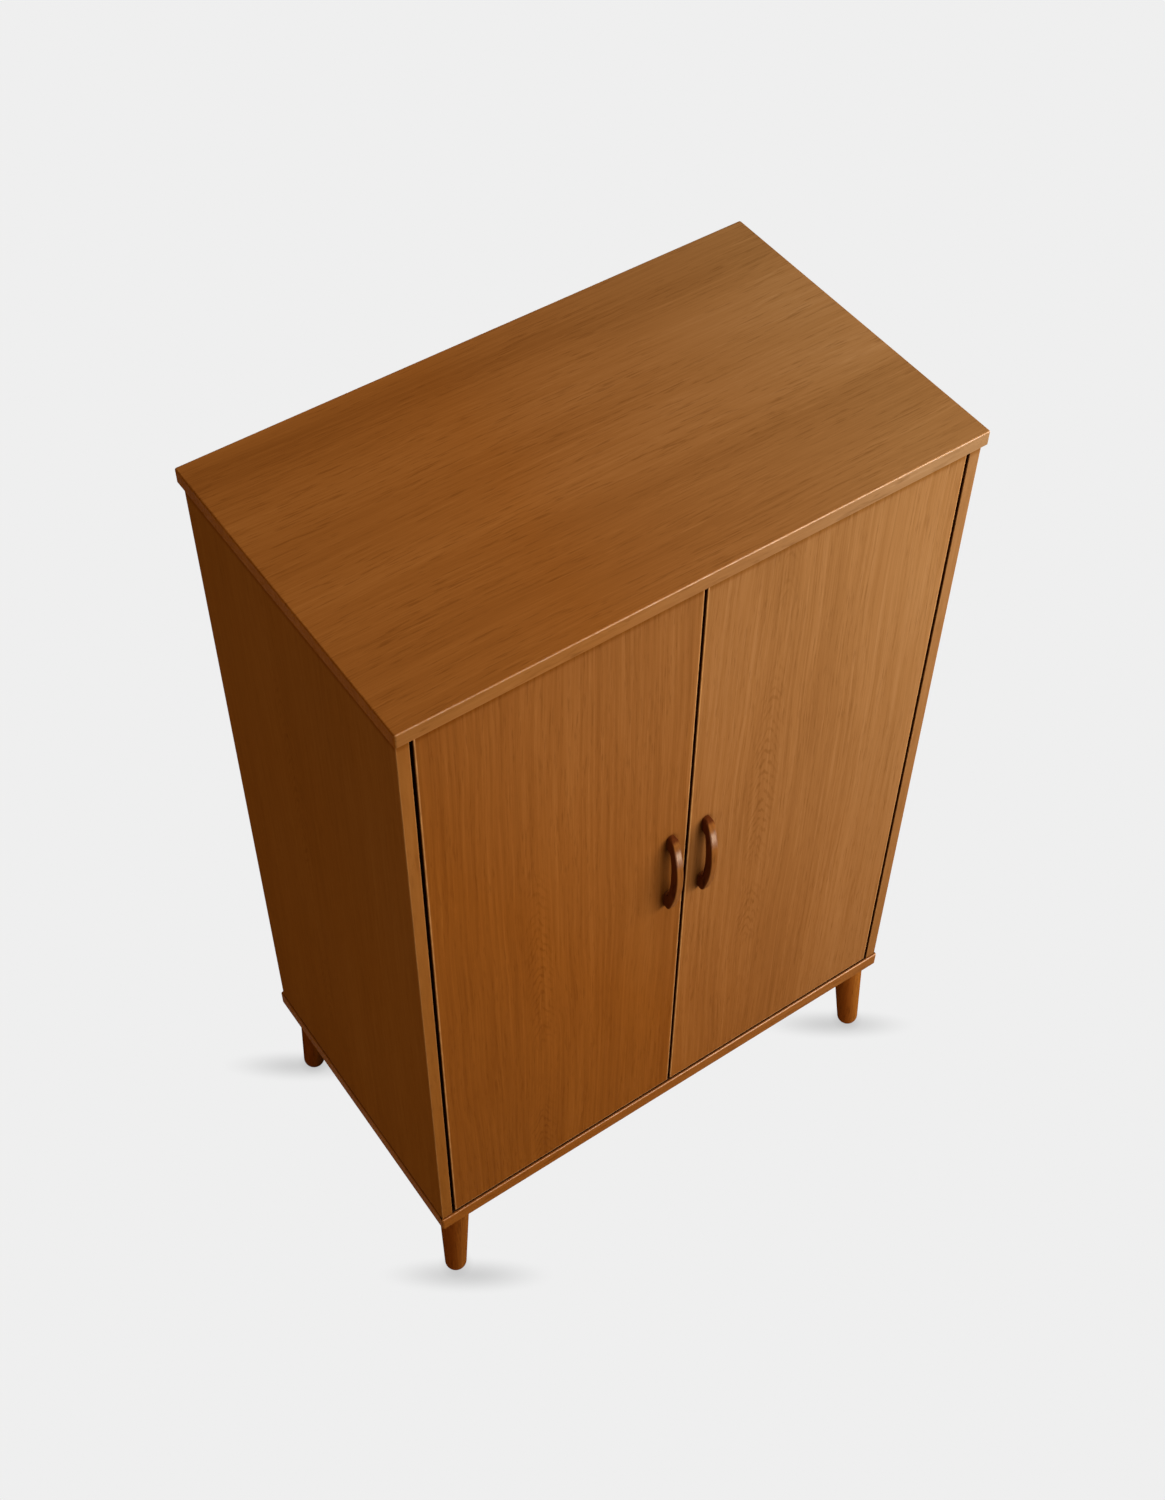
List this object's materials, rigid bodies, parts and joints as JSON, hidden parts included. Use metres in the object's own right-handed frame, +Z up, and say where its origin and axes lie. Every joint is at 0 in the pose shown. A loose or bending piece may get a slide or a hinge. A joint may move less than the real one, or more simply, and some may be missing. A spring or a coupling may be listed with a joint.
{
  "type": "shoe cabinet",
  "caption": "Tall wooden shoe cabinet with hinged doors, wooden bow handles, inner shelves and short splayed turned legs",
  "frame": {"origin": "on the floor, in the middle of the overall width and depth", "axes": "+X to the cabinet's right as seen from the front, +Y towards the wall behind it, +Z up; the doors face -Y"},
  "size_m": [0.72, 0.442, 1.15],
  "materials": {
    "cross_veneer": "satin brown veneer, grain from side to side",
    "upright_veneer": "satin brown veneer, grain upright",
    "door_veneer": "satin brown veneer, grain upright",
    "shelf_veneer": "satin brown veneer, grain from side to side",
    "back_board": "matt printed sheet",
    "handle_wood": "dark brown semi-gloss lacquer",
    "leg_wood": "satin lacquer",
    "dowel_wood": "raw beech",
    "hinge_steel": "nickel-plated pressed steel",
    "bright_steel": "zinc-plated",
    "catch_plastic": "moulded brown",
    "magnet": "plain"
  },
  "bodies": {
    "carcass": {"back_left_leg": "leg_wood", "back_panel": "back_board", "back_right_leg": "leg_wood", "bottom_panel": "cross_veneer", "carcass_dowels": "dowel_wood", "catch_housing": "catch_plastic", "catch_magnets": "magnet", "fixed_shelf": "shelf_veneer", "front_left_leg": "leg_wood", "front_right_leg": "leg_wood", "left_hinge_arms": "hinge_steel", "left_hinge_plates": "hinge_steel", "left_side_panel": "upright_veneer", "leg_bolts": "bright_steel", "leg_inserts": "bright_steel", "lower_shelf": "shelf_veneer", "middle_shelf": "shelf_veneer", "right_hinge_arms": "hinge_steel", "right_hinge_plates": "hinge_steel", "right_side_panel": "upright_veneer", "shelf_dowels": "dowel_wood", "shelf_pins": "bright_steel", "top_panel": "cross_veneer", "upper_shelf": "shelf_veneer"},
    "left_leaf": {"left_door": "door_veneer", "left_handle": "handle_wood", "left_hinge_cups": "hinge_steel", "left_hinge_pins": "hinge_steel", "left_strike_plate": "bright_steel"},
    "right_leaf": {"right_door": "door_veneer", "right_handle": "handle_wood", "right_hinge_cups": "hinge_steel", "right_hinge_pins": "hinge_steel", "right_strike_plate": "bright_steel"}
  },
  "joints": [
    {"name": "left_door_hinge", "type": "hinge", "parent": "carcass", "child": "left_leaf", "pos_m": [-0.3275, -0.1905, 0.6505], "axis": [0, 0, -1], "range_deg": [0, 100]},
    {"name": "right_door_hinge", "type": "hinge", "parent": "carcass", "child": "right_leaf", "pos_m": [0.3275, -0.1905, 0.6505], "axis": [0, 0, 1], "range_deg": [0, 100]}
  ]
}
